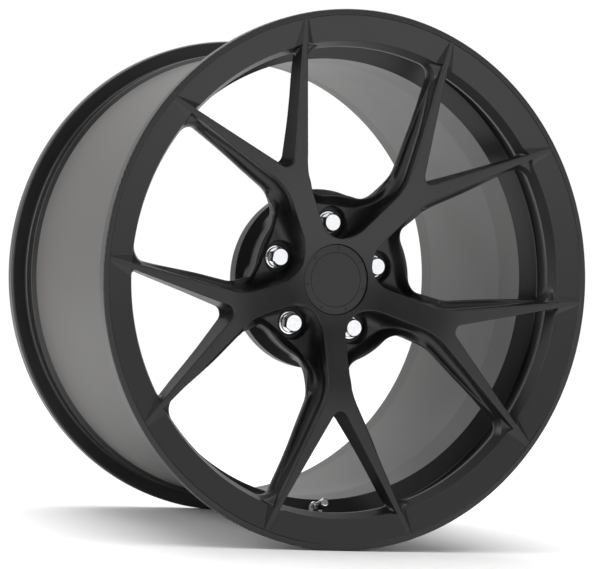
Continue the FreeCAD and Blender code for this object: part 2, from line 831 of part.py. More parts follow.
def sensor_housing(head_back):
    """Rounded box in the well, with an arm that the screw holds against the valve's head."""
    box = doc.addObject("Part::Box", "sensor_box")
    for side, cell in (("Length", "sensor_width"), ("Width", "sensor_length"),
                       ("Height", "sensor_height")):
        box.setExpression(side, "Sizes.%s" % cell)
    box.Placement = Placement(Vector(
        -SIZES["sensor_width"] / 2,
        SIZES["sensor_start"] - SIZES["half_width"],
        -SIZES["sensor_floor"] - SIZES["sensor_height"]), Rotation())
    doc.recompute()
    rounded = doc.addObject("Part::Fillet", "sensor_rounding_edges")
    rounded.Base = box
    rounding = SIZES["sensor_rounding"]
    rounded.Edges = [(edge + 1, rounding, rounding) for edge in range(len(box.Shape.Edges))]

    arm = doc.addObject("Part::Cylinder", "sensor_arm")
    arm.setExpression("Radius", "Sizes.arm_radius")
    arm.Height = SIZES["arm_thickness"]
    arm.Placement = valve_placement().multiply(Placement(
        Vector(0, head_back.number, 0), Rotation(Vector(1, 0, 0), 90)))
    neck = doc.addObject("Part::Cylinder", "sensor_neck")
    neck.setExpression("Radius", "Sizes.arm_radius")
    neck.Height = 9
    neck.Placement = valve_placement().multiply(Placement(
        Vector(0, head_back.number, 0), Rotation(Vector(1, 0, 0), 90)))
    body = doc.addObject("Part::MultiFuse", "sensor_body")
    body.Shapes = [rounded, arm, neck]

    hole = doc.addObject("Part::Cylinder", "sensor_screw_hole")
    hole.setExpression("Radius", "Sizes.air_bore_radius")
    hole.Height = 12
    hole.Placement = valve_placement().multiply(Placement(
        Vector(0, head_back.number + 4, 0), Rotation(Vector(1, 0, 0), 90)))
    relief = doc.addObject("Part::Cylinder", "sensor_screw_relief")
    relief.Radius = SIZES["screw_head_radius"] + 0.4
    relief.Height = 30
    relief.Placement = valve_placement().multiply(Placement(
        Vector(0, head_back.number - SIZES["arm_thickness"], 0), Rotation(Vector(1, 0, 0), 90)))
    cutters = doc.addObject("Part::MultiFuse", "sensor_cutters")
    cutters.Shapes = [hole, relief]
    housing = doc.addObject("Part::Cut", "sensor_housing")
    housing.Label = "sensor_housing"
    housing.Base = body
    housing.Tool = cutters
    doc.recompute()
    return housing


parts = [forged_centre(), rim_barrel(), weld_seam(), cap_shell(), cap_badge()]
parts.append(ring_on_axis("cap_seal_ring", "wire_ring_radius", "wire_radius", "seal_ring_depth"))
parts.append(ring_on_axis("cap_spring_ring", "wire_ring_radius", "wire_radius", "wire_ring_depth"))
for gap in range(SPOKES):
    parts += [lug_bolt(gap), lug_ring(gap)]
parts += valve_parts()
doc.recompute()

for item in doc.Objects:
    if "Invalid" in item.State or "Error" in item.State:
        raise RuntimeError("%s is %s" % (item.Label, item.State))
for part in parts:
    if part.Shape.isNull() or not part.Shape.isValid():
        raise RuntimeError("%s has no valid shape" % part.Label)

os.makedirs("parts", exist_ok=True)
for part in parts:
    part.Shape.exportStep("parts/%s.step" % part.Label)
    print("%-16s %d solid %12.1f mm3" % (part.Label, len(part.Shape.Solids), part.Shape.Volume))
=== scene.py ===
import json
import math

import bmesh
import bpy
import numpy as np
from mathutils import Matrix, Vector


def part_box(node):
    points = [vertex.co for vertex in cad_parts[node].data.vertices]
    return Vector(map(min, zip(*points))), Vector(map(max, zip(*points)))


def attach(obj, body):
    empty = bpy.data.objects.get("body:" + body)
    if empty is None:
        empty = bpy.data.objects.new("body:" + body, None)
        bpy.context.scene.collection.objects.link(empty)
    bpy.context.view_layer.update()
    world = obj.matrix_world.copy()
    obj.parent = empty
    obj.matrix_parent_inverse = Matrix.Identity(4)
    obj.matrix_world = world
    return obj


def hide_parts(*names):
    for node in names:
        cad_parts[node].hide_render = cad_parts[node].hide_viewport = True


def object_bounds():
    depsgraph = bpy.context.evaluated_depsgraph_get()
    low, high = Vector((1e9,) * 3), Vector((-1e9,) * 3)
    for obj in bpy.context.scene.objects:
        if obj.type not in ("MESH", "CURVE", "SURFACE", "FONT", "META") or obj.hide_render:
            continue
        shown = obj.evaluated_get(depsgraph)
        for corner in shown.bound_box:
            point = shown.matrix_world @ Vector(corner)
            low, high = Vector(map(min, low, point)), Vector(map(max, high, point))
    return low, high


# Lengths are in millimetres up to the moment a mesh is written, and then in metres.
# A point of the wheel is (radius, angle, depth): depth is the distance behind the plane of the
# outboard flange's face, and a spoke's trunk points straight down at angle 0.

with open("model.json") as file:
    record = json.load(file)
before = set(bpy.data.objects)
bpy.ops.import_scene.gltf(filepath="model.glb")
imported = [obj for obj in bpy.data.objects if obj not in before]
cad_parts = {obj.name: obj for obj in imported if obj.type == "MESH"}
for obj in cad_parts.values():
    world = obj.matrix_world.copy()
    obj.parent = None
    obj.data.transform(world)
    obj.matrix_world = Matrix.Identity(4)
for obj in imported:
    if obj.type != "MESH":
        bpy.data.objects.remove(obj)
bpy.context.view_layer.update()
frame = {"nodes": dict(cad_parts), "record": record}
MM = 0.001
SPOKES = 5
BISECTOR = math.pi / SPOKES
FRONT_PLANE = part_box("forged_centre")[0][1] / MM
FLANGE_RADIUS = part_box("forged_centre")[1][0] / MM
PAD_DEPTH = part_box("forged_centre")[1][1] / MM - FRONT_PLANE
WHOLE_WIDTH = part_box("rim_barrel")[1][1] / MM - FRONT_PLANE
PITCH_RADIUS = (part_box("lug_bolt_1")[0][2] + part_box("lug_bolt_1")[1][2]) / 2 / MM
CAP_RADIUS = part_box("cap_shell")[1][0] / MM
CAP_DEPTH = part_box("cap_shell")[0][1] / MM - FRONT_PLANE

WASHER_MIDDLE = 0.75          # above the foot of the valve, along its axis
HALF_SPOKE_TRIANGLES = 19600  # what the mesh of half a spoke is thinned to

# spoke outline, seen from the street side: along a trunk and across it
TRUNK_HALF = 13.0
ARM_START = 115.7
ARM_ANGLE = math.atan(0.508)
ARM_BLEND = 8.0
HUB_ARC = 30.0
FORK_FRONT = (126.8, math.atan(0.617))
FORK_BACK = (132.6, math.atan(0.66))
FORK_ROUNDING = 8.5

# lug seats, centre bore and back of the hub
COUNTERBORE_RADIUS = 16.5
COUNTERBORE_FLOOR = 84.6
SEAT_RADIUS = 13.0
LUG_HOLE = 8.0
RELIEF_RADIUS = 15.0
RELIEF_REACH = 34.0
CREST_RADIUS = 89.5

RIM_RING = [
    (268, 0), (272.7, 0), (273.7, 1), (273.7, 14, 3), (256.4, 14, 3), (256.4, 36), (257.5, 37),
    (257.5, 40), (255.4, 43), (255, 58.76, 4), (235.2, 68.44), (235.2, 69.8), (230, 64.3),
    (248, 55.5, 2), (248, 37, 4), (241.3, 32, 1.5), (242.5, 27.3, 1.5), (238, 23.8), (238, 20.8),
    (242.8, 8.5), (267.4, 1.6)]


# ---------------------------------------------------------------- small mathematics

def smooth_step(x):
    x = np.clip(x, 0, 1)
    return x * x * (3 - 2 * x)


def soft_max(a, b, k):
    """The larger of two distances, eased over a band k wide."""
    near = np.maximum(k - np.abs(a - b), 0) / k
    return np.maximum(a, b) + near * near * k / 4


def round_and(a, b, radius):
    """Intersection of two solids with its edge rounded."""
    outer = np.hypot(np.maximum(a + radius, 0), np.maximum(b + radius, 0))
    return np.minimum(np.maximum(a, b), -radius) + outer


def round_or(a, b, radius):
    """Union of two solids with a fillet where they meet."""
    inner = np.hypot(np.maximum(radius - a, 0), np.maximum(radius - b, 0))
    return np.maximum(np.minimum(a, b), radius) - inner


def rounded(corners, step=12):
    """Closed outline with the corners (x, y, radius) turned into arcs; step is in degrees."""
    points = []
    for i, corner in enumerate(corners):
        here = np.array(corner[:2], float)
        radius = corner[2] if len(corner) > 2 else 0
        if not radius:
            points.append(here)
            continue
        to_last = np.array(corners[i - 1][:2], float) - here
        to_next = np.array(corners[(i + 1) % len(corners)][:2], float) - here
        to_last /= np.linalg.norm(to_last)
        to_next /= np.linalg.norm(to_next)
        half = math.acos(np.clip(to_last @ to_next, -1, 1)) / 2
        middle = (to_last + to_next) / np.linalg.norm(to_last + to_next)
        centre = here + middle * radius / math.sin(half)
        start = here + to_last * radius / math.tan(half) - centre
        end = here + to_next * radius / math.tan(half) - centre
        turn = math.atan2(start[0] * end[1] - start[1] * end[0], start @ end)
        count = max(2, math.ceil(abs(math.degrees(turn)) / step))
        for k in range(count + 1):
            angle = turn * k / count
            cos, sin = math.cos(angle), math.sin(angle)
            points.append(centre + (start[0] * cos - start[1] * sin, start[0] * sin + start[1] * cos))
    return np.array(points)


def inset(outline, amount):
    """The outline with every edge moved inwards by amount."""
    points = np.array(outline, float)
    forward = np.roll(points, -1, axis=0) - points
    area = np.sum(points[:, 0] * np.roll(points, -1, axis=0)[:, 1]
                  - points[:, 1] * np.roll(points, -1, axis=0)[:, 0])
    forward /= np.linalg.norm(forward, axis=1)[:, None]
    inward = np.stack([-forward[:, 1], forward[:, 0]], 1) * (1 if area > 0 else -1)
    before = np.roll(inward, 1, axis=0)
    shared = inward + before
    return points + shared * (amount / (1 + np.sum(inward * before, axis=1)))[:, None]


def outline_distance(x, y, outline):
    """Signed distance from the closed outline, negative inside."""
    nearest = np.full(x.shape, 1e9)
    inside = np.zeros(x.shape, bool)
    for (ax, ay), (bx, by) in zip(outline, np.roll(outline, -1, axis=0)):
        ex, ey = bx - ax, by - ay
        wx, wy = x - ax, y - ay
        along = np.clip((wx * ex + wy * ey) / (ex * ex + ey * ey), 0, 1)
        nearest = np.minimum(nearest, (wx - ex * along) ** 2 + (wy - ey * along) ** 2)
        if ay != by:
            crosses = ((ay > y) != (by > y)) & (x < ax + ex * (y - ay) / ey)
            inside ^= crosses
    return np.sqrt(nearest) * np.where(inside, -1, 1)


class Section:
    """Signed distance of a turned outline, tabulated once over radius and depth."""

    STEP = 0.25

    def __init__(self, corners, rounding):
        outline = inset(rounded(corners), rounding)
        self.radii = np.arange(20, 285, self.STEP)
        self.depths = np.arange(-8, 125, self.STEP)
        r, d = np.meshgrid(self.radii, self.depths, indexing="ij")
        self.table = (outline_distance(r, d, outline) - rounding).astype(np.float32)

    def __call__(self, r, d):
        x = np.clip((r - self.radii[0]) / self.STEP, 0, len(self.radii) - 2.001)
        y = np.clip((d - self.depths[0]) / self.STEP, 0, len(self.depths) - 2.001)
        i, j = x.astype(int), y.astype(int)
        x, y = x - i, y - j
        t = self.table
        return ((t[i, j] * (1 - x) + t[i + 1, j] * x) * (1 - y)
                + (t[i, j + 1] * (1 - x) + t[i + 1, j + 1] * x) * y)


# ---------------------------------------------------------------- shape of the forged centre

def through(r, *stations):
    """Eased curve through stations (radius, value)."""
    radii, values = zip(*stations)
    ease = 5
    return sum(np.interp(r + shift, radii, values) for shift in (-ease, 0, ease)) / 3


def face_depth(r):
    """Depth of the spokes' turned front face."""
    hub_slope, arm_slope = -0.4322, -0.1351
    return soft_max(55.2 + hub_slope * (r - 40), 21.4 + arm_slope * (r - 118.2), 6)


def ridge_depth(r):
    """Depth of the rear flange's ridge along the gap side of a spoke, and of the skirt's crest."""
    return through(r, (60, 66), (88, 62.5), (98.5, 54), (109.5, 49.3), (131, 45.5), (153, 40),
                   (175, 34.8), (197, 32), (219, 30.5), (241, 26.5), (260, 24))


def back_depth(r):
    return through(r, (76, 96), (86, 84), (94, 74), (102, 65), (110, 58), (120, 52), (131, 48.5),
                   (153, 42.5), (175, 37), (197, 34), (219, 32.4), (241, 28), (260, 26))


def gap_distance(r, angle):
    """How far a point lies inside the gap between two spokes, from its front outline."""
    u, v = r * np.cos(angle), r * np.sin(angle)
    p, q = r * np.cos(BISECTOR - angle), r * np.sin(BISECTOR - angle)
    centre = (TRUNK_HALF + HUB_ARC) / math.sin(BISECTOR)
    to_trunk = TRUNK_HALF - v
    in_arc = np.abs(q) < (centre - p) * math.tan(math.pi / 2 - BISECTOR)
    to_trunk = np.where(in_arc, np.hypot(centre - p, q) - HUB_ARC, to_trunk)
    to_arm = (u - ARM_START) * math.sin(ARM_ANGLE) + (TRUNK_HALF - v) * math.cos(ARM_ANGLE)
    return -soft_max(to_trunk, to_arm, ARM_BLEND)


def fork_distance(r, angle, share):
    """How far a point lies inside the window between a spoke's two arms."""
    u, v = r * np.cos(angle), r * np.sin(angle)
    apex = FORK_FRONT[0] + (FORK_BACK[0] - FORK_FRONT[0]) * share
    slope = FORK_FRONT[1] + (FORK_BACK[1] - FORK_FRONT[1]) * share
    centre = apex + FORK_ROUNDING / np.sin(slope)
    wall = (u - apex) * np.sin(slope) - np.abs(v) * np.cos(slope)
    in_arc = np.abs(v) < (centre - u) / np.tan(slope)
    return np.where(in_arc, FORK_ROUNDING - np.hypot(centre - u, v), wall)


def spoke_distance(r, angle, d):
    """The five forked spokes: flat front, I-shaped gap sides, plain fork sides."""
    face = face_depth(r)
    ridge = ridge_depth(r)
    gap = gap_distance(r, angle)
    share = (d - face) / (ridge - face)
    reach = through(r, (50, 4), (70, 7), (88, 11.5), (112, 12), (125, 9.5), (165, 8.5),
                    (200, 6.3), (216, 5.5), (245, 5))
    flare = smooth_step((share - 0.12) / 0.8) * reach
    side = (gap - flare) * 0.85
    hollow = through(r, (70, 11), (88, 11), (110, 8.6), (130, 7.6), (150, 6.8), (180, 5.2),
                     (200, 3.4), (216, 0), (260, -4))
    bottom = through(r, (70, 2), (88, 0), (110, -2.5), (130, -3.4), (150, -3), (180, -2),
                     (200, 0), (216, 2.6), (260, 3))
    middle = face + (ridge - face) * 0.56
    groove = hollow - np.hypot(gap - (bottom + np.maximum(hollow, 0)), d - middle)
    side = soft_max(side, groove, 1.6)
    fork = fork_distance(r, angle, np.clip(share, 0, 1.1))
    wall = round_and(side, fork, 0.8)
    front = (face - d) * np.where(r < 118, 0.918, 0.991)
    back = (d - back_depth(r)) * 0.9
    root = np.minimum(r - 252, np.maximum(r - 271, d - 11))
    solid = round_and(round_and(wall, np.maximum(back, root), 1.2), front, 1.4)
    return solid, gap, fork


def pocket_distance(r, d, gap):
    """The hollow round each lug seat, which runs out along the trunks on either side as a valley."""
    inside_crest = -round_or(r - CREST_RADIUS, gap - 12, 16)
    depth_gain = through(r, (78, 11), (92, 12), (106, 7), (118, 2), (126, -3), (140, -18), (150, -40))
    floor = ridge_depth(r) + depth_gain * np.where(r < 120, smooth_step((inside_crest - 0.5) / 12), 1)
    return round_and((d - floor) * 0.85, 0.6 - gap, 13)


def facet_distance(r, d, beside):
    """Shallow facets that carry an arm's flanks out over the lip's recess."""
    top = (face_depth(r) + 0.55 * np.maximum(beside, 0) - d) * 0.87
    run, rise = 242.8 - 238, 8.5 - 20.8
    length = math.hypot(run, rise)
    inner = ((r - 238) * rise - (d - 20.8) * run) / length
    return np.maximum(np.maximum(top, inner), np.maximum(d - 11, r - 271))


def carve(solid, p, q, u, v, d, bore, r):
    """Cuts the lug seats, the reliefs in the pad and the centre bore."""
    lug = np.hypot(p - PITCH_RADIUS, q)
    solid = round_and(solid, -np.maximum(lug - COUNTERBORE_RADIUS, d - COUNTERBORE_FLOOR), 1.6)
    cone = (lug - SEAT_RADIUS) * math.cos(math.pi / 6) + (d - COUNTERBORE_FLOOR) * 0.5
    cone = np.maximum(cone, COUNTERBORE_FLOOR - 1 - d)
    solid = round_and(solid, -cone, 0.4)
    solid = round_and(solid, LUG_HOLE - lug, 0.6)
    relief = np.hypot(u - PITCH_RADIUS, v)
    cup = round_and(relief - RELIEF_RADIUS, PAD_DEPTH - RELIEF_REACH - d, 5)
    solid = round_and(solid, -cup, 1)
    return round_and(solid, -bore(r, d), 0.5)


class ForgedCentre:
    """Signed distance of the whole forging, negative in the metal."""

    def __init__(self):
        self.ring = Section(RIM_RING, 0.45)
        self.core = Section([
            (22, 58), (84, 58), (CREST_RADIUS, 63), (88.2, 80, 14), (95.5, 99),
            (95.5, PAD_DEPTH - 1.5), (94, PAD_DEPTH), (22, PAD_DEPTH)], 0.6)
        seat_radius, seat_depth = CAP_RADIUS + 0.4, CAP_DEPTH + 3.4
        self.bore = Section([
            (15, -5), (seat_radius, -5), (seat_radius, seat_depth), (33.4, seat_depth),
            (33.4, 78), (36.3, 78), (36.3, PAD_DEPTH - 1), (37.8, PAD_DEPTH + 0.5), (37.8, 122),
            (15, 122)], 0.05)

    def __call__(self, r, angle, d):
        u, v = r * np.cos(angle), r * np.sin(angle)
        spokes, gap, fork = spoke_distance(r, angle, d)
        p, q = r * np.cos(BISECTOR - angle), r * np.sin(BISECTOR - angle)
        disc = round_or(spokes, self.core(r, d), 11)
        disc = soft_max(disc, -pocket_distance(r, d, gap), 1.6)
        beyond_lip = smooth_step((d - 9) / 6)
        on_gap_side = smooth_step((gap - fork + 4) / 8)
        inside_ring = 1 - smooth_step((r - 241) / 6)
        fillet = 0.5 + beyond_lip * (4 + 8 * on_gap_side) * inside_ring
        rim = self.ring(r, d)
        beside = np.maximum(gap, fork)
        disc = np.minimum(round_or(disc, rim, fillet), facet_distance(r, d, beside))
        return carve(disc, p, q, u, v, d, self.bore, r)

    def slope(self, points):
        """Unit gradient at points given as rows of (across, depth, down)."""
        h = 0.05
        columns = []
        for axis in range(3):
            ahead, behind = points.copy(), points.copy()
            ahead[:, axis] += h
            behind[:, axis] -= h
            columns.append(self.at(ahead) - self.at(behind))
        gradient = np.stack(columns, 1)
        return gradient / np.maximum(np.linalg.norm(gradient, axis=1), 1e-9)[:, None]

    def at(self, points):
        return self(np.hypot(points[:, 0], points[:, 2]),
                    np.arctan2(points[:, 0], points[:, 2]), points[:, 1])


# ---------------------------------------------------------------- turning a distance into a mesh

class Grid:
    """Cylindrical grid over half a spoke, with its first and last cells across the mirror planes."""

    def __init__(self, step, turns):
        self.low = np.array([32.0, -0.5 * BISECTOR / turns, -1.5])
        self.step = np.array([step, BISECTOR / turns, step])
        self.count = np.array([
            math.ceil((FLANGE_RADIUS + 2 - self.low[0]) / step), turns + 2,
            math.ceil((PAD_DEPTH + 2 - self.low[2]) / step)])

    def samples(self, solid):
        r, angle, d = [self.low[k] + self.step[k] * np.arange(self.count[k]) for k in range(3)]
        slabs = [solid(*np.meshgrid(part, angle, d, indexing="ij"))
                 for part in np.array_split(r, 24)]
        return np.concatenate(slabs)

    def place(self, index):
        """(across, depth, down) of points given in grid steps."""
        r, angle, d = (self.low + self.step * index).T
        return np.stack([r * np.sin(angle), d, r * np.cos(angle)], 1)

    def locate(self, points):
        r = np.hypot(points[:, 0], points[:, 2])
        angle = np.arctan2(points[:, 0], points[:, 2])
        return (np.stack([r, angle, points[:, 1]], 1) - self.low) / self.step


def crossings(values, axis):
    """Grid edges along axis on which the surface lies: start, point and whether it leaves metal."""
    near = np.moveaxis(values, axis, 0)[:-1]
    far = np.moveaxis(values, axis, 0)[1:]
    start = np.argwhere((near < 0) != (far < 0))
    a = near[tuple(start.T)]
    b = far[tuple(start.T)]
    order = [0, 1, 2]
    order.remove(axis)
    full = np.zeros_like(start)
    full[:, axis] = start[:, 0]
    full[:, order[0]] = start[:, 1]
    full[:, order[1]] = start[:, 2]
    point = full.astype(float)
    point[:, axis] += a / (a - b)
    return full, point, a < 0, order


def dual_contour(solid, grid):
    """Vertices in grid cells at the best fit to the planes crossing them, and the quads between."""
    values = grid.samples(solid)
    cells = grid.count - 1
    ids, planes, points, quads = [], [], [], []
    for axis in range(3):
        start, point, leaving, others = crossings(values, axis)
        place = grid.place(point)
        normal = solid.slope(place)
        around = []
        valid = np.ones(len(start), bool)
        for step_a, step_b in ((0, 0), (1, 0), (1, 1), (0, 1)):
            cell = start.copy()
            cell[:, others[0]] -= step_a
            cell[:, others[1]] -= step_b
            fits = np.all((cell >= 0) & (cell < cells), axis=1)
            number = np.ravel_multi_index(np.clip(cell, 0, cells - 1).T, cells)
            ids.append(number[fits])
            planes.append(normal[fits])
            points.append(place[fits])
            around.append(number)
            valid &= fits
        quad = np.stack(around, 1)
        flip = leaving if axis != 1 else ~leaving
        quad[flip] = quad[flip][:, ::-1]
        quads.append(quad[valid])
    ids, planes, points = np.concatenate(ids), np.concatenate(planes), np.concatenate(points)
    used, slot = np.unique(ids, return_inverse=True)
    total = np.bincount(slot).astype(float)
    centre = np.stack([np.bincount(slot, points[:, k]) for k in range(3)], 1) / total[:, None]
    offset = np.sum(planes * (points - centre[slot]), axis=1)
    matrix = np.zeros((len(used), 3, 3))
    pull = np.zeros((len(used), 3))
    for i in range(3):
        pull[:, i] = np.bincount(slot, planes[:, i] * offset)
        for j in range(3):
            matrix[:, i, j] = np.bincount(slot, planes[:, i] * planes[:, j])
    steadiness = 0.06
    matrix += np.eye(3) * (steadiness * total)[:, None, None]
    fitted = centre + np.linalg.solve(matrix, pull[:, :, None])[:, :, 0]
    cell = np.stack(np.unravel_index(used, cells), 1)
    index = np.clip(grid.locate(fitted), cell, cell + 1)
    index[cell[:, 1] == 0, 1] = 0.5
    index[cell[:, 1] == cells[1] - 1, 1] = cells[1] - 0.5
    return grid.place(index), np.searchsorted(used, np.concatenate(quads))


def thinned(vertices, faces, target):
    """The mesh collapsed to about target triangles."""
    mesh = bpy.data.meshes.new("half_spoke")
    mesh.from_pydata(vertices.tolist(), [], faces.tolist())
    mesh.update()
    carrier = bpy.data.objects.new("half_spoke", mesh)
    bpy.context.scene.collection.objects.link(carrier)
    triangles = 2 * len(faces)
    thin = carrier.modifiers.new("thin", "DECIMATE")
    thin.ratio = min(1, target / triangles)
    thin.use_collapse_triangulate = True
    result = carrier.evaluated_get(bpy.context.evaluated_depsgraph_get()).to_mesh()
    points = np.empty(len(result.vertices) * 3)
    result.vertices.foreach_get("co", points)
    result.calc_loop_triangles()
    corners = np.empty(len(result.loop_triangles) * 3, np.int32)
    result.loop_triangles.foreach_get("vertices", corners)
    bpy.data.objects.remove(carrier)
    bpy.data.meshes.remove(mesh)
    return points.reshape(-1, 3), corners.reshape(-1, 3)


def open_edges(triangles):
    edges = np.sort(np.concatenate([triangles[:, [0, 1]], triangles[:, [1, 2]], triangles[:, [2, 0]]]))
    pairs, uses = np.unique(edges, axis=0, return_counts=True)
    return pairs[uses == 1]


def seat_on_mirror_planes(vertices, triangles):
    """Puts the open edge of half a spoke exactly on the two planes that it is mirrored in."""
    reach = 1.5
    rim = np.unique(open_edges(triangles))
    angle = np.arctan2(vertices[rim, 0], vertices[rim, 2])
    r = np.hypot(vertices[rim, 0], vertices[rim, 2])
    for plane in (0, BISECTOR):
        near = rim[r * np.abs(angle - plane) < reach]
        out = np.hypot(vertices[near, 0], vertices[near, 2])
        vertices[near, 0] = out * np.sin(plane)
        vertices[near, 2] = out * np.cos(plane)


def face_vectors(vertices, triangles):
    """A vector square to each triangle, twice its area long."""
    first = vertices[triangles[:, 0]]
    return np.cross(vertices[triangles[:, 1]] - first, vertices[triangles[:, 2]] - first)


def corner_normals(solid, vertices, triangles):
    """Each corner's normal, taken a little way into its own face so that edges stay crisp, and
    the face's own normal where the two lean too far apart."""
    middle = vertices[triangles].mean(axis=1)
    normals = np.empty((len(triangles), 3, 3))
    for k in range(3):
        corner = vertices[triangles[:, k]]
        inward = middle - corner
        length = np.maximum(np.linalg.norm(inward, axis=1), 1e-6)
        step = np.minimum(0.25 * length, 0.35) / length
        normals[:, k] = solid.slope(corner + inward * step[:, None])
    flat = face_vectors(vertices, triangles)
    flat /= np.maximum(np.linalg.norm(flat, axis=1), 1e-9)[:, None]
    flat *= np.sign(np.sum(flat * normals.sum(axis=1)))
    most_lean = math.radians(40)
    strays = np.sum(normals * flat[:, None], axis=2) < math.cos(most_lean)
    normals[strays] = np.broadcast_to(flat[:, None], normals.shape)[strays]
    return normals


def whole_wheel(vertices, triangles, normals):
    """Ten mirrored and turned copies of half a spoke, welded into one closed mesh."""
    all_points, all_faces, all_normals = [], [], []
    for mirror in (1, -1):
        for turn in range(SPOKES):
            angle = 2 * BISECTOR * turn
            cos, sin = math.cos(angle), math.sin(angle)
            out = []
            for rows in (vertices, normals.reshape(-1, 3)):
                across, depth, down = rows[:, 0] * mirror, rows[:, 1], rows[:, 2]
                out.append(np.stack([across * cos + down * sin, depth,
                                     across * sin - down * cos], 1))
            order = triangles if mirror == 1 else triangles[:, ::-1]
            shape = out[1].reshape(-1, 3, 3)
            all_normals.append(shape if mirror == 1 else shape[:, ::-1])
            all_faces.append(order + len(vertices) * len(all_points))
            all_points.append(out[0])
    points = np.concatenate(all_points)
    welds_per_mm = 2000
    keys = np.round(points * welds_per_mm).astype(np.int64)
    _, first, welded = np.unique(keys, axis=0, return_index=True, return_inverse=True)
    return points[first], welded.reshape(-1)[np.concatenate(all_faces)], np.concatenate(all_normals)


def wheel_mesh():
    solid = ForgedCentre()
    step, turns = ((0.85, 150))
    vertices, quads = dual_contour(solid, Grid(step, turns))
    vertices, triangles = thinned(vertices, quads, HALF_SPOKE_TRIANGLES)
    seat_on_mirror_planes(vertices, triangles)
    sliver = 1e-7
    area = np.linalg.norm(face_vectors(vertices, triangles), axis=1)
    triangles = triangles[area > sliver]
    normals = corner_normals(solid, vertices, triangles)
    if np.sum(face_vectors(vertices, triangles) * normals.mean(axis=1)) < 0:
        triangles, normals = triangles[:, ::-1], normals[:, ::-1]
    # (across, depth, down) to (x, y, z) is a mirroring, so the order of the corners turns round
    points, faces, normals = whole_wheel(vertices, triangles[:, ::-1], normals[:, ::-1])
    points[:, 1] += FRONT_PLANE
    mesh = bpy.data.meshes.new("wheel_centre")
    mesh.from_pydata((points * MM).tolist(), [], faces.tolist())
    mesh.update()
    mesh.shade_smooth()
    mesh.normals_split_custom_set(normals.reshape(-1, 3).tolist())
    return mesh


def new_object(name, mesh, material, body, slot, *nodes):
    """Adds a piece to the scene; a grey mesh may have zones with index 1, which are black."""
    piece = bpy.data.objects.new(name, mesh)
    bpy.context.scene.collection.objects.link(piece)
    zones = [face.material_index for face in mesh.polygons] if material is grey else []
    mesh.materials.clear()
    mesh.materials.append(material)
    if any(zones):
        mesh.materials.append(black)
        mesh.polygons.foreach_set("material_index", zones)
    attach(piece, body)
    if nodes:
        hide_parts(*nodes)
    return piece


# ---------------------------------------------------------------- materials

def shader(name):
    material = bpy.data.materials.new(name)
    material.use_nodes = True
    nodes, links = material.node_tree.nodes, material.node_tree.links
    return material, nodes, links, nodes["Principled BSDF"]


def noise(nodes, links, source, scale, detail=3):
    texture = nodes.new("ShaderNodeTexNoise")
    texture.inputs["Scale"].default_value = scale
    texture.inputs["Detail"].default_value = detail
    links.new(source, texture.inputs["Vector"])
    return texture.outputs["Fac"]


def ramp(nodes, links, value, low, high, start=0.3, end=0.7):
    """Maps a value to a number or a colour between low and high."""
    mapped = nodes.new("ShaderNodeMapRange")
    mapped.inputs["From Min"].default_value = start
    mapped.inputs["From Max"].default_value = end
    mapped.inputs["To Min"].default_value = low
    mapped.inputs["To Max"].default_value = high
    links.new(value, mapped.inputs["Value"])
    return mapped.outputs["Result"]


def bump(nodes, links, height, strength, distance, into):
    relief = nodes.new("ShaderNodeBump")
    relief.inputs["Strength"].default_value = strength
    relief.inputs["Distance"].default_value = distance
    links.new(height, relief.inputs["Height"])
    links.new(relief.outputs["Normal"], into)


def tinted(nodes, links, value, dark, light, into):
    """Colour between dark and light by value."""
    mix = nodes.new("ShaderNodeMix")
    mix.data_type = "RGBA"
    mix.inputs["A"].default_value = (*dark, 1)
    mix.inputs["B"].default_value = (*light, 1)
    links.new(value, mix.inputs["Factor"])
    links.new(mix.outputs["Result"], into)


def satin_black():
    """Powder-coated black: fine orange peel, cloudy gloss, dust-fine speckle."""
    material, nodes, links, skin = shader("satin_black")
    where = nodes.new("ShaderNodeTexCoord").outputs["Object"]
    cloud = noise(nodes, links, where, 14, 4)
    speckle = noise(nodes, links, where, 2600, 2)
    tinted(nodes, links, ramp(nodes, links, cloud, 0, 1), (0.0060, 0.0060, 0.0064),
           (0.0084, 0.0084, 0.0088), skin.inputs["Base Color"])
    links.new(ramp(nodes, links, cloud, 0.36, 0.42), skin.inputs["Roughness"])
    bump(nodes, links, speckle, 0.12, 0.00012, skin.inputs["Normal"])
    skin.inputs["Specular IOR Level"].default_value = 0.5
    return material


def satin_grey():
    """Grey for the barrel's surface, over turned metal."""
    material, nodes, links, skin = shader("satin_grey")
    where = nodes.new("ShaderNodeTexCoord").outputs["Object"]
    cloud = noise(nodes, links, where, 9, 4)
    tinted(nodes, links, ramp(nodes, links, cloud, 0, 1), (0.068, 0.066, 0.064),
           (0.078, 0.076, 0.073), skin.inputs["Base Color"])
    links.new(ramp(nodes, links, cloud, 0.44, 0.52), skin.inputs["Roughness"])
    bump(nodes, links, noise(nodes, links, where, 1800, 2), 0.1, 0.0001, skin.inputs["Normal"])
    return material


def plain_metal(name, color, roughness, grain):
    material, nodes, links, skin = shader(name)
    where = nodes.new("ShaderNodeTexCoord").outputs["Object"]
    cloud = noise(nodes, links, where, grain, 3)
    skin.inputs["Metallic"].default_value = 1
    tinted(nodes, links, ramp(nodes, links, cloud, 0, 1), [c * 0.93 for c in color], color,
           skin.inputs["Base Color"])
    links.new(ramp(nodes, links, cloud, roughness * 0.8, roughness * 1.3), skin.inputs["Roughness"])
    bump(nodes, links, cloud, 0.03, 0.00005, skin.inputs["Normal"])
    return material


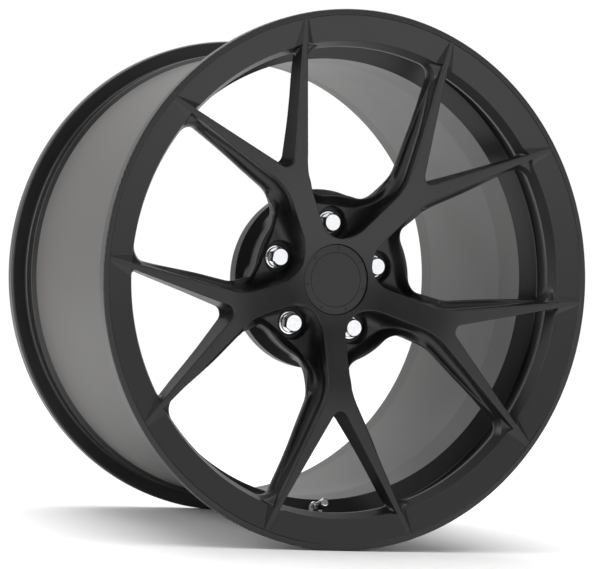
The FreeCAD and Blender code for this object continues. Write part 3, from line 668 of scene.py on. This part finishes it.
def plain_dark(name, color, roughness, grain):
    material, nodes, links, skin = shader(name)
    where = nodes.new("ShaderNodeTexCoord").outputs["Object"]
    cloud = noise(nodes, links, where, grain, 4)
    tinted(nodes, links, ramp(nodes, links, cloud, 0, 1), [c * 0.85 for c in color], color,
           skin.inputs["Base Color"])
    links.new(ramp(nodes, links, cloud, roughness * 0.9, roughness * 1.1), skin.inputs["Roughness"])
    bump(nodes, links, cloud, 0.1, 0.0001, skin.inputs["Normal"])
    return material


# ---------------------------------------------------------------- pieces

black = satin_black()
grey = satin_grey()
chrome = plain_metal("chrome", (0.86, 0.87, 0.89), 0.09, 300)
brass = plain_metal("brass", (0.72, 0.58, 0.30), 0.25, 500)
spring_steel = plain_metal("spring_steel", (0.55, 0.55, 0.56), 0.3, 500)
rubber = plain_dark("rubber", (0.012, 0.012, 0.012), 0.7, 900)
plastic = plain_dark("plastic", (0.022, 0.022, 0.024), 0.5, 1200)
cap_black = plain_dark("cap_black", (0.010, 0.010, 0.0105), 0.46, 700)
ink = plain_dark("ink", (0.003, 0.003, 0.003), 0.8, 700)
ink.node_tree.nodes["Principled BSDF"].inputs["Specular IOR Level"].default_value = 0.08

OWN_MATERIAL = {
    "wheel_black": black, "barrel_grey": grey, "cap_black": cap_black, "lug_chrome": chrome,
    "valve_metal": chrome, "valve_brass": brass, "seal_rubber": rubber,
    "spring_steel": spring_steel, "sensor_plastic": plastic}
for subpart in frame["record"]["subparts"]:
    node = frame["nodes"][subpart["node"]]
    node.data.materials.clear()
    node.data.materials.append(OWN_MATERIAL[subpart["material_slot"]])


# ---------------------------------------------------------------- turned pieces

def finely(outline, step):
    """The outline (radius, height) with its long edges cut into pieces no longer than step."""
    points = []
    for (ra, ha), (rb, hb) in zip(outline, outline[1:]):
        count = max(1, math.ceil(math.hypot(rb - ra, hb - ha) / step))
        points += [(ra + (rb - ra) * k / count, ha + (hb - ha) * k / count) for k in range(count)]
    return points + [outline[-1]]


def guarded(outline, margin=0.4):
    """Adds points close to the ends of long edges, so that smooth shading stays by the corners."""
    points = []
    for a, b in zip(outline, np.roll(outline, -1, axis=0)):
        length = math.hypot(*(b - a))
        points.append(a)
        if length > 3 * margin:
            points += [a + (b - a) * margin / length, b - (b - a) * margin / length]
    return np.array(points)


def turned(name, outline, turns, place, closed=False, shape=None, crease=28):
    """Mesh of an outline (radius, height) turned about an axis; shape(r, angle, height) gives the
    radius to use, and place turns (x, height, z) in millimetres into metres in the frame."""
    outline = [tuple(point) for point in outline]
    angles = 2 * math.pi * np.arange(turns) / turns
    points, rings = [], []
    for radius, height in outline:
        if radius < 1e-6:
            rings.append([len(points)] * turns)
            points.append((0, height, 0))
            continue
        radii = np.full(turns, float(radius)) if shape is None else shape(radius, angles, height)
        rings.append(list(range(len(points), len(points) + turns)))
        points += list(zip(radii * np.cos(angles), np.full(turns, height), radii * np.sin(angles)))
    faces = []
    pairs = list(zip(rings, rings[1:])) + ([(rings[-1], rings[0])] if closed else [])
    for low, high in pairs:
        for k in range(turns):
            n = (k + 1) % turns
            corners = [low[k], high[k], high[n], low[n]]
            faces.append(tuple(dict.fromkeys(corners)))
    mesh = bpy.data.meshes.new(name)
    mesh.from_pydata([place(point) for point in points], [], faces)
    shell = bmesh.new()
    shell.from_mesh(mesh)
    bmesh.ops.recalc_face_normals(shell, faces=shell.faces)
    shell.to_mesh(mesh)
    shell.free()
    mesh.shade_smooth()
    mesh.set_sharp_from_angle(angle=math.radians(crease))
    return mesh


def on_wheel_axis(point):
    return Vector((point[0], point[1] + FRONT_PLANE, point[2])) * MM


def on_axis_of(*nodes):
    """Placing for a piece on one node's axis, along the wheel's, or else on the line from the
    washer on the valve's foot to the other node."""
    middles = [(Vector(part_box(node)[0]) + Vector(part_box(node)[1])) / 2 for node in nodes]
    if len(nodes) == 1:
        up = Vector((0, 1, 0))
        origin = Vector((middles[0].x, FRONT_PLANE * MM, middles[0].z))
    else:
        up = (middles[-1] - middles[0]).normalized()
        origin = middles[0] - up * WASHER_MIDDLE * MM
    side = up.cross(Vector((1, 0, 0))).normalized()
    other = side.cross(up)
    return lambda point: origin + (side * point[0] + up * point[1] + other * point[2]) * MM


def hexagon(across_flats, angle):
    """Radius of a hexagon at an angle, with a corner at angle zero."""
    sixth = math.pi / 3
    return across_flats / 2 / np.cos((angle % sixth) - sixth / 2)


def barrel_mesh():
    """The rolled rear barrel: grey inside and out, with its bead seat and flange black."""
    whole, flange = WHOLE_WIDTH, WHOLE_WIDTH - 14
    outline = rounded([
        (230, 64.3), (235.2, 69.8), (235.2, 105), (236.4, 111), (253, 281.8), (252.2, 283.2),
        (257.5, flange - 20, 1), (257.5, flange - 17, 1), (256.4, flange - 16), (256.4, flange, 3),
        (FLANGE_RADIUS, flange, 3), (FLANGE_RADIUS, whole, 2), (251.5, whole, 1.5),
        (251, 294), (248.4, 290), (232.1, 108), (231, 107)])
    outline = guarded(outline)
    mesh = turned("rear_barrel", outline, 288, on_wheel_axis, closed=True)
    # faces behind this depth and outside the middle radius, and the rear face, take the black; the
    # rest stays grey
    colour_break, middle_radius, rear_face = 282, 251.85, whole - 0.2
    for face in mesh.polygons:
        depth = face.center.y / MM - FRONT_PLANE
        radius = math.hypot(face.center.x, face.center.z) / MM
        outside = depth > colour_break and radius > middle_radius
        face.material_index = int(outside or depth > rear_face)
    return mesh


def lug_bolt_mesh(node):
    """Chamfered 17 mm hexagon, collar, plain shank and rolled thread with a pointed end."""
    hex_flats, pitch, thread_depth = 17, 1.5, 0.65
    head, collar, thread = 73.1, 82.6, PAD_DEPTH + 0.5
    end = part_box(node)[1][1] / MM - FRONT_PLANE
    corner = hex_flats / math.sqrt(3)

    def shape(radius, angle, depth):
        if depth < collar - 0.01:
            return np.minimum(radius, hexagon(hex_flats, angle))
        if depth > thread + 0.2:
            wave = np.abs((depth / pitch - angle / (2 * math.pi)) % 1 - 0.5) * 2
            return np.maximum(radius - thread_depth * wave, 0.2)
        return np.full(len(angle), float(radius))

    top = [(0, head), (4, head)]
    chamfer = finely([(8.3, head), (corner, head + 0.9)], 0.12)
    body = [(corner, collar - 0.4), (corner, collar - 0.02), (9.9, collar), (10.6, collar + 0.8),
            (10.6, 84.4), (6.4, 84.4), (6.4, thread)]
    screw = finely([(6.95, thread + 0.1), (6.95, end - 2), (5, end - 0.3)], 0.2)
    return turned(node + "_turned", top + chamfer + body + screw + [(4.6, end), (0, end)], 48,
                  on_axis_of(node), shape=shape)


def lug_ring_mesh(node):
    """Loose cone ring, its rim rounded and its cone smooth."""
    bore, outer, top, rim = 7.3, 12.15, 84.7, 85.9
    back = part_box(node)[1][1] / MM - FRONT_PLANE
    outline = rounded([(bore, top, 0.4), (outer, top, 0.5), (outer, rim, 0.2),
                       (bore + 0.8, back, 0.3), (bore, back)])
    return turned(node + "_turned", outline, 96, on_axis_of(node), closed=True)


def valve_cap_mesh():
    """Knurled dust cap with a domed end."""
    radius, bore, start, end, ridges = 4.7, 3.93, 11.6, 23.6, 30

    def knurl(r, angle, height):
        grip = start + 1.2 < height < end - 2.2 and r > radius - 0.1
        wave = np.abs(np.sin(angle * ridges / 2)) if grip else 0
        return r - 0.28 * wave + np.zeros(len(angle))

    outline = [(0, end - 1.5), (bore, end - 1.5), (bore, start), (radius - 0.3, start),
               (radius, start + 0.4), (radius, start + 1.1), (radius, start + 1.3),
               (radius, end - 2.3), (radius, end - 2.1), (radius, end - 0.9),
               (radius - 0.25, end - 0.4), (radius - 0.8, end - 0.08), (radius - 1.4, end), (0, end)]
    return turned("valve_cap_turned", outline, 180, on_axis_of("valve_washer", "valve_cap"),
                  shape=knurl, crease=35)


def valve_stem_mesh():
    """Stem with a rolled thread under the cap."""
    pitch, thread_depth = 0.79375, 0.35
    head_back, grommet_back = -11.5, -8.5

    def shape(radius, angle, height):
        if height < 9.3 or radius < 3:
            return np.full(len(angle), float(radius))
        wave = np.abs((height / pitch - angle / (2 * math.pi)) % 1 - 0.5) * 2
        return radius - thread_depth * wave

    screw = finely([(3.85, 9.35), (3.85, 20), (3.4, 20.4)], 0.13)
    outline = [(1.5, head_back), (6.8, head_back), (6.8, grommet_back - 0.6), (6.2, grommet_back),
               (4, grommet_back), (4, 9)] + screw + [(3.2, 20.5), (2.4, 20.5), (2.4, 7), (1.5, 7)]
    return turned("valve_stem_turned", outline, 36, on_axis_of("valve_washer", "valve_cap"),
                  closed=True, shape=shape)


def valve_nut_mesh():
    base, top, bore, flats = 1.4, 8.0, 4.0, 10.2

    def shape(radius, angle, height):
        return np.minimum(radius, hexagon(flats, angle)) if radius > bore + 0.5 else \
            np.full(len(angle), float(radius))

    rim = finely([(5.0, top), (5.88, top - 0.7)], 0.12)
    outline = [(bore, base), (5.88, base)] + rim[::-1] + [(bore + 0.4, top), (bore, top - 0.4)]
    return turned("valve_nut_turned", outline, 48, on_axis_of("valve_washer", "valve_cap"),
                  closed=True, shape=shape)


def tick_mesh():
    """Seven plain dark inlays in the ring of the cap round the badge."""
    count, half_length, half_width, middle = 7, 1.6, 0.42, 33
    face, thickness = CAP_DEPTH - 0.02, 0.38
    points, faces = [], []
    for k in range(count):
        turn = Matrix.Rotation(2 * math.pi * k / count, 4, "Y")
        first = len(points)
        for depth in (face, face + thickness):
            for x, z in ((-1, -1), (1, -1), (1, 1), (-1, 1)):
                spot = Vector((x * half_width, 0, middle + z * half_length))
                points.append(on_wheel_axis((turn @ spot) + Vector((0, depth, 0))))
        faces += [[first + n for n in side] for side in (
            (0, 1, 2, 3), (7, 6, 5, 4), (0, 4, 5, 1), (1, 5, 6, 2), (2, 6, 7, 3), (3, 7, 4, 0))]
    mesh = bpy.data.meshes.new("cap_ticks")
    mesh.from_pydata(points, [], faces)
    return mesh


new_object("wheel_centre", wheel_mesh(), black, "wheel", "wheel_black", "forged_centre")
new_object("rear_barrel", barrel_mesh(), grey, "wheel", "barrel_grey", "rim_barrel")
new_object("cap_ticks", tick_mesh(), ink, "centre_cap", "cap_black")
new_object("valve_cap_turned", valve_cap_mesh(), chrome, "valve_cap", "valve_metal", "valve_cap")
new_object("valve_stem_turned", valve_stem_mesh(), chrome, "wheel", "valve_metal", "valve_stem")
new_object("valve_nut_turned", valve_nut_mesh(), chrome, "wheel", "valve_metal", "valve_nut")
for number in range(1, SPOKES + 1):
    bolt, ring = "lug_bolt_%d" % number, "lug_ring_%d" % number
    new_object(bolt + "_turned", lug_bolt_mesh(bolt), chrome, bolt, "lug_chrome", bolt)
    new_object(ring + "_turned", lug_ring_mesh(ring), chrome, ring, "lug_chrome", ring)


# ---------------------------------------------------------------- floor, light, camera

def camera():
    azimuth, elevation = math.radians(-25.551), math.radians(1.194)
    distance, aside, above = 1.9102, 0.00768, -0.00696
    back = Vector((math.sin(azimuth) * math.cos(elevation),
                   -math.cos(azimuth) * math.cos(elevation), math.sin(elevation)))
    right = Vector((0, 0, 1)).cross(back).normalized()
    up = back.cross(right)
    view = Matrix((right, up, back)).transposed().to_4x4()
    view.translation = back * distance + right * aside + up * above
    data = bpy.data.cameras.new("camera")
    data.lens = 104.79
    data.sensor_width = 36
    data.sensor_fit = "HORIZONTAL"
    eye = bpy.data.objects.new("camera", data)
    eye.matrix_world = Matrix.Rotation(math.radians(-5.3), 4, "Y") @ view
    bpy.context.scene.collection.objects.link(eye)
    bpy.context.scene.camera = eye


def softbox(name, place, aim, size, power):
    data = bpy.data.lights.new(name, "AREA")
    data.shape = "RECTANGLE"
    data.size, data.size_y = size
    data.energy = power
    lamp = bpy.data.objects.new(name, data)
    lamp.location = place
    lamp.rotation_euler = (Vector(aim) - Vector(place)).to_track_quat("-Z", "Y").to_euler()
    bpy.context.scene.collection.objects.link(lamp)


def floor_light():
    """Wide light from straight above that keeps the floor as white as the backdrop."""
    data = bpy.data.lights.new("sky_light", "SUN")
    data.energy = 1.7
    data.angle = math.radians(70)
    lamp = bpy.data.objects.new("sky_light", data)
    bpy.context.scene.collection.objects.link(lamp)


def surroundings():
    """World that is white behind the wheel and dim in front of it, and a plain pale floor."""
    world = bpy.data.worlds.new("studio")
    world.use_nodes = True
    nodes, links = world.node_tree.nodes, world.node_tree.links
    toward = nodes.new("ShaderNodeSeparateXYZ")
    links.new(nodes.new("ShaderNodeTexCoord").outputs["Generated"], toward.inputs["Vector"])
    bright_behind = ramp(nodes, links, toward.outputs["Y"], 0.22, 1.02, -0.25, 0.35)
    links.new(bright_behind, nodes["Background"].inputs["Strength"])
    nodes["Background"].inputs["Color"].default_value = (1, 1, 1, 1)
    bpy.context.scene.world = world
    mesh = bpy.data.meshes.new("floor")
    side = 6
    mesh.from_pydata([(-side, -side, 0), (side, -side, 0), (side, side, 0), (-side, side, 0)], [],
                     [(0, 1, 2, 3)])
    material, nodes, links, skin = shader("pale_floor")
    skin.inputs["Base Color"].default_value = (0.94, 0.94, 0.94, 1)
    skin.inputs["Roughness"].default_value = 0.8
    mesh.materials.append(material)
    floor = bpy.data.objects.new("floor", mesh)
    floor.location.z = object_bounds()[0][2]
    bpy.context.scene.collection.objects.link(floor)


camera()
surroundings()
softbox("overhead", (0, 0.4, 2.8), (0, 0, 0), (3.6, 3.6), 46)
softbox("left", (-2.4, -0.5, 0.5), (0, 0.1, 0), (0.4, 2.2), 34)
softbox("front_right", (1.35, -2.7, 0.25), (0, 0, 0), (2.0, 2.2), 12)
floor_light()
bpy.context.scene.view_settings.view_transform = "Standard"
